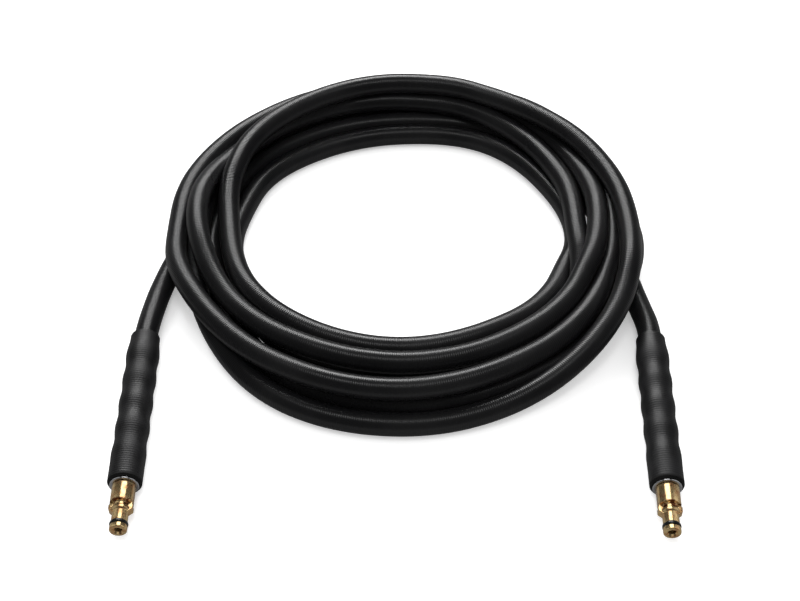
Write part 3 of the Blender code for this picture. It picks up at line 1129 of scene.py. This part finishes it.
@dataclass(frozen=True)
class Softbox:
    """One area light that looks at a point from an azimuth and an elevation."""

    name: str
    azimuth: float
    elevation: float
    distance: float
    width: float
    height: float
    radiance: float

    def place(self, target: Vector, pieces: bpy.types.Collection) -> None:
        """Hang the light, point it at the target and let it shine on some pieces only.

        Args:
            target: Where it points.
            pieces: The collection that it lights.
        """
        a, e = math.radians(self.azimuth), math.radians(self.elevation)
        away = Vector((math.cos(e) * math.cos(a), math.cos(e) * math.sin(a), math.sin(e)))
        data = bpy.data.lights.new(self.name, "AREA")
        data.shape = "RECTANGLE"
        data.size, data.size_y = self.width, self.height
        data.energy = self.radiance * math.pi * self.width * self.height
        light = bpy.data.objects.new(self.name, data)
        light.location = target + away * self.distance
        light.rotation_euler = (-away).to_track_quat("-Z", "Y").to_euler()
        light.visible_camera = False
        light.light_linking.receiver_collection = pieces
        bpy.context.scene.collection.objects.link(light)


@dataclass
class Studio:
    """The pale floor, the soft lights and the camera.

    The dark pieces and the metal are lit by their own softboxes, so that the rubber keeps its depth
    and the brass its colour.
    """

    middle: Vector
    elevation: float = 46.2
    distance: float = 0.900
    lens: float = 61.44
    sensor: float = 36.0
    aim: Point = (-0.002, -0.048, 0.0)
    sky_seen: float = 1.0
    sky_mirrored: float = 0.03
    sky_light: float = 0.9
    floor_reach: float = 4.0
    floor_pale: float = 0.92
    floor_glow: float = 0.35
    floor_mirrored: float = 0.20
    rubber_boxes: tuple[Softbox, ...] = (
        Softbox("back_softbox", 96.0, 38.5, 2.2, 1.6, 0.6, 16.0),
        Softbox("top_softbox", 270.0, 77.0, 2.2, 0.5, 0.5, 9.0),
    )
    metal_boxes: tuple[Softbox, ...] = (
        Softbox("metal_top_softbox", 90.0, 58.0, 1.2, 0.78, 0.9, 2.8),
        Softbox("metal_left_softbox", 172.0, 30.0, 1.0, 0.7, 1.0, 0.5),
        Softbox("metal_right_softbox", 5.0, 30.0, 1.0, 0.9, 1.0, 0.7),
        Softbox("metal_front_softbox", 270.0, 42.0, 1.2, 0.9, 0.5, 0.5),
    )

    def camera(self) -> None:
        """Create the camera at the photograph's angle."""
        target = self.middle + Vector(self.aim)
        e = math.radians(self.elevation)
        away = Vector((0.0, -math.cos(e), math.sin(e)))
        data = bpy.data.cameras.new("camera")
        data.lens, data.sensor_width = self.lens, self.sensor
        camera = bpy.data.objects.new("camera", data)
        camera.location = target + away * self.distance
        camera.rotation_euler = (-away).to_track_quat("-Z", "Y").to_euler()
        bpy.context.scene.collection.objects.link(camera)
        bpy.context.scene.camera = camera

    def floor(self) -> bpy.types.Object:
        """Lay the pale floor, which is dimmer in the pieces' reflections.

        Returns:
            The floor.
        """
        mesh = bpy.data.meshes.new("floor")
        reach = self.floor_reach
        mesh.from_pydata([(-reach, -reach, 0), (reach, -reach, 0), (reach, reach, 0),
                          (-reach, reach, 0)], [], [(0, 1, 2, 3)])
        floor = bpy.data.objects.new("floor", mesh)
        bpy.context.scene.collection.objects.link(floor)
        paper = bpy.data.materials.new("floor_paper")
        paper.use_nodes = True
        bench = NodeBench(paper.node_tree)
        shader = paper.node_tree.nodes["Principled BSDF"]
        mirrored = bench.add("ShaderNodeLightPath").outputs["Is Glossy Ray"]
        for name, pale, dim in (("Base Color", self.floor_pale, self.floor_mirrored),
                                ("Emission Strength", self.floor_glow, 0.0)):
            bench.feed(shader.inputs[name], bench.span(mirrored, 0.0, 1.0, pale, dim))
        shader.inputs["Roughness"].default_value = 0.9
        shader.inputs["Specular IOR Level"].default_value = 0.0
        shader.inputs["Emission Color"].default_value = (1.0, 1.0, 1.0, 1.0)
        mesh.materials.append(paper)
        return floor

    def world(self) -> None:
        """Light the world evenly, keep it dark in reflections and show plain colours."""
        world = bpy.data.worlds.new("studio")
        world.use_nodes = True
        bench = NodeBench(world.node_tree)
        background = world.node_tree.nodes["Background"]
        background.inputs["Color"].default_value = (1.0, 1.0, 1.0, 1.0)
        rays = bench.add("ShaderNodeLightPath").outputs
        unseen = bench.span(rays["Is Glossy Ray"], 0.0, 1.0, self.sky_light, self.sky_mirrored)
        strength = bench.math("MAXIMUM", unseen, bench.math("MULTIPLY", rays["Is Camera Ray"],
                                                            self.sky_seen))
        bench.feed(background.inputs["Strength"], strength)
        bpy.context.scene.world = world
        bpy.context.scene.view_settings.view_transform = "Standard"

    def light(self, floor: bpy.types.Object, rubber: Iterable[bpy.types.Object],
              metal: Sequence[bpy.types.Object]) -> None:
        """Hang the softboxes, once the pieces are there.

        Args:
            floor: The floor, which the rubber's softboxes light too.
            rubber: The dark pieces.
            metal: The brass and steel pieces.
        """
        dark, bright = (bpy.data.collections.new(name) for name in ("lit_dark", "lit_metal"))
        for piece in (floor, *rubber):
            dark.objects.link(piece)
        for piece in metal:
            bright.objects.link(piece)
        centre = sum((Vector(piece.bound_box[0]) for piece in metal), Vector()) / len(metal)
        for box in self.rubber_boxes:
            box.place(self.middle, dark)
        for box in self.metal_boxes:
            box.place(centre, bright)


def main() -> None:
    """Build the studio and the hose."""
    low, high = (Vector(corner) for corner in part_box("hose_coil"))
    middle = Vector(((low.x + high.x) / 2, (low.y + high.y) / 2, 0.0))
    studio = Studio(middle)
    studio.camera()

    workshop = Workshop()
    route = CoilRoute(middle)
    hose, line = Hose(route).build(workshop)
    plug = BayonetPlug()
    rubber, metal = [hose], []
    for end in End:
        placing = route.axis(end)
        rubber += [BendSleeve().build(workshop, end, placing),
                   SealingRing().build(workshop, end, placing, plug)]
        metal += [Ferrule().build(workshop, end, placing), plug.build(workshop, end, placing)]
    length = sum((b - a).length for a, b in zip(line, line[1:]))
    log.info("hose: %.3f m of centre line, %d points", length, len(line))

    studio.world()
    studio.light(studio.floor(), rubber, metal)


if __name__ == "__main__":
    logging.basicConfig(level=logging.INFO)
    main()
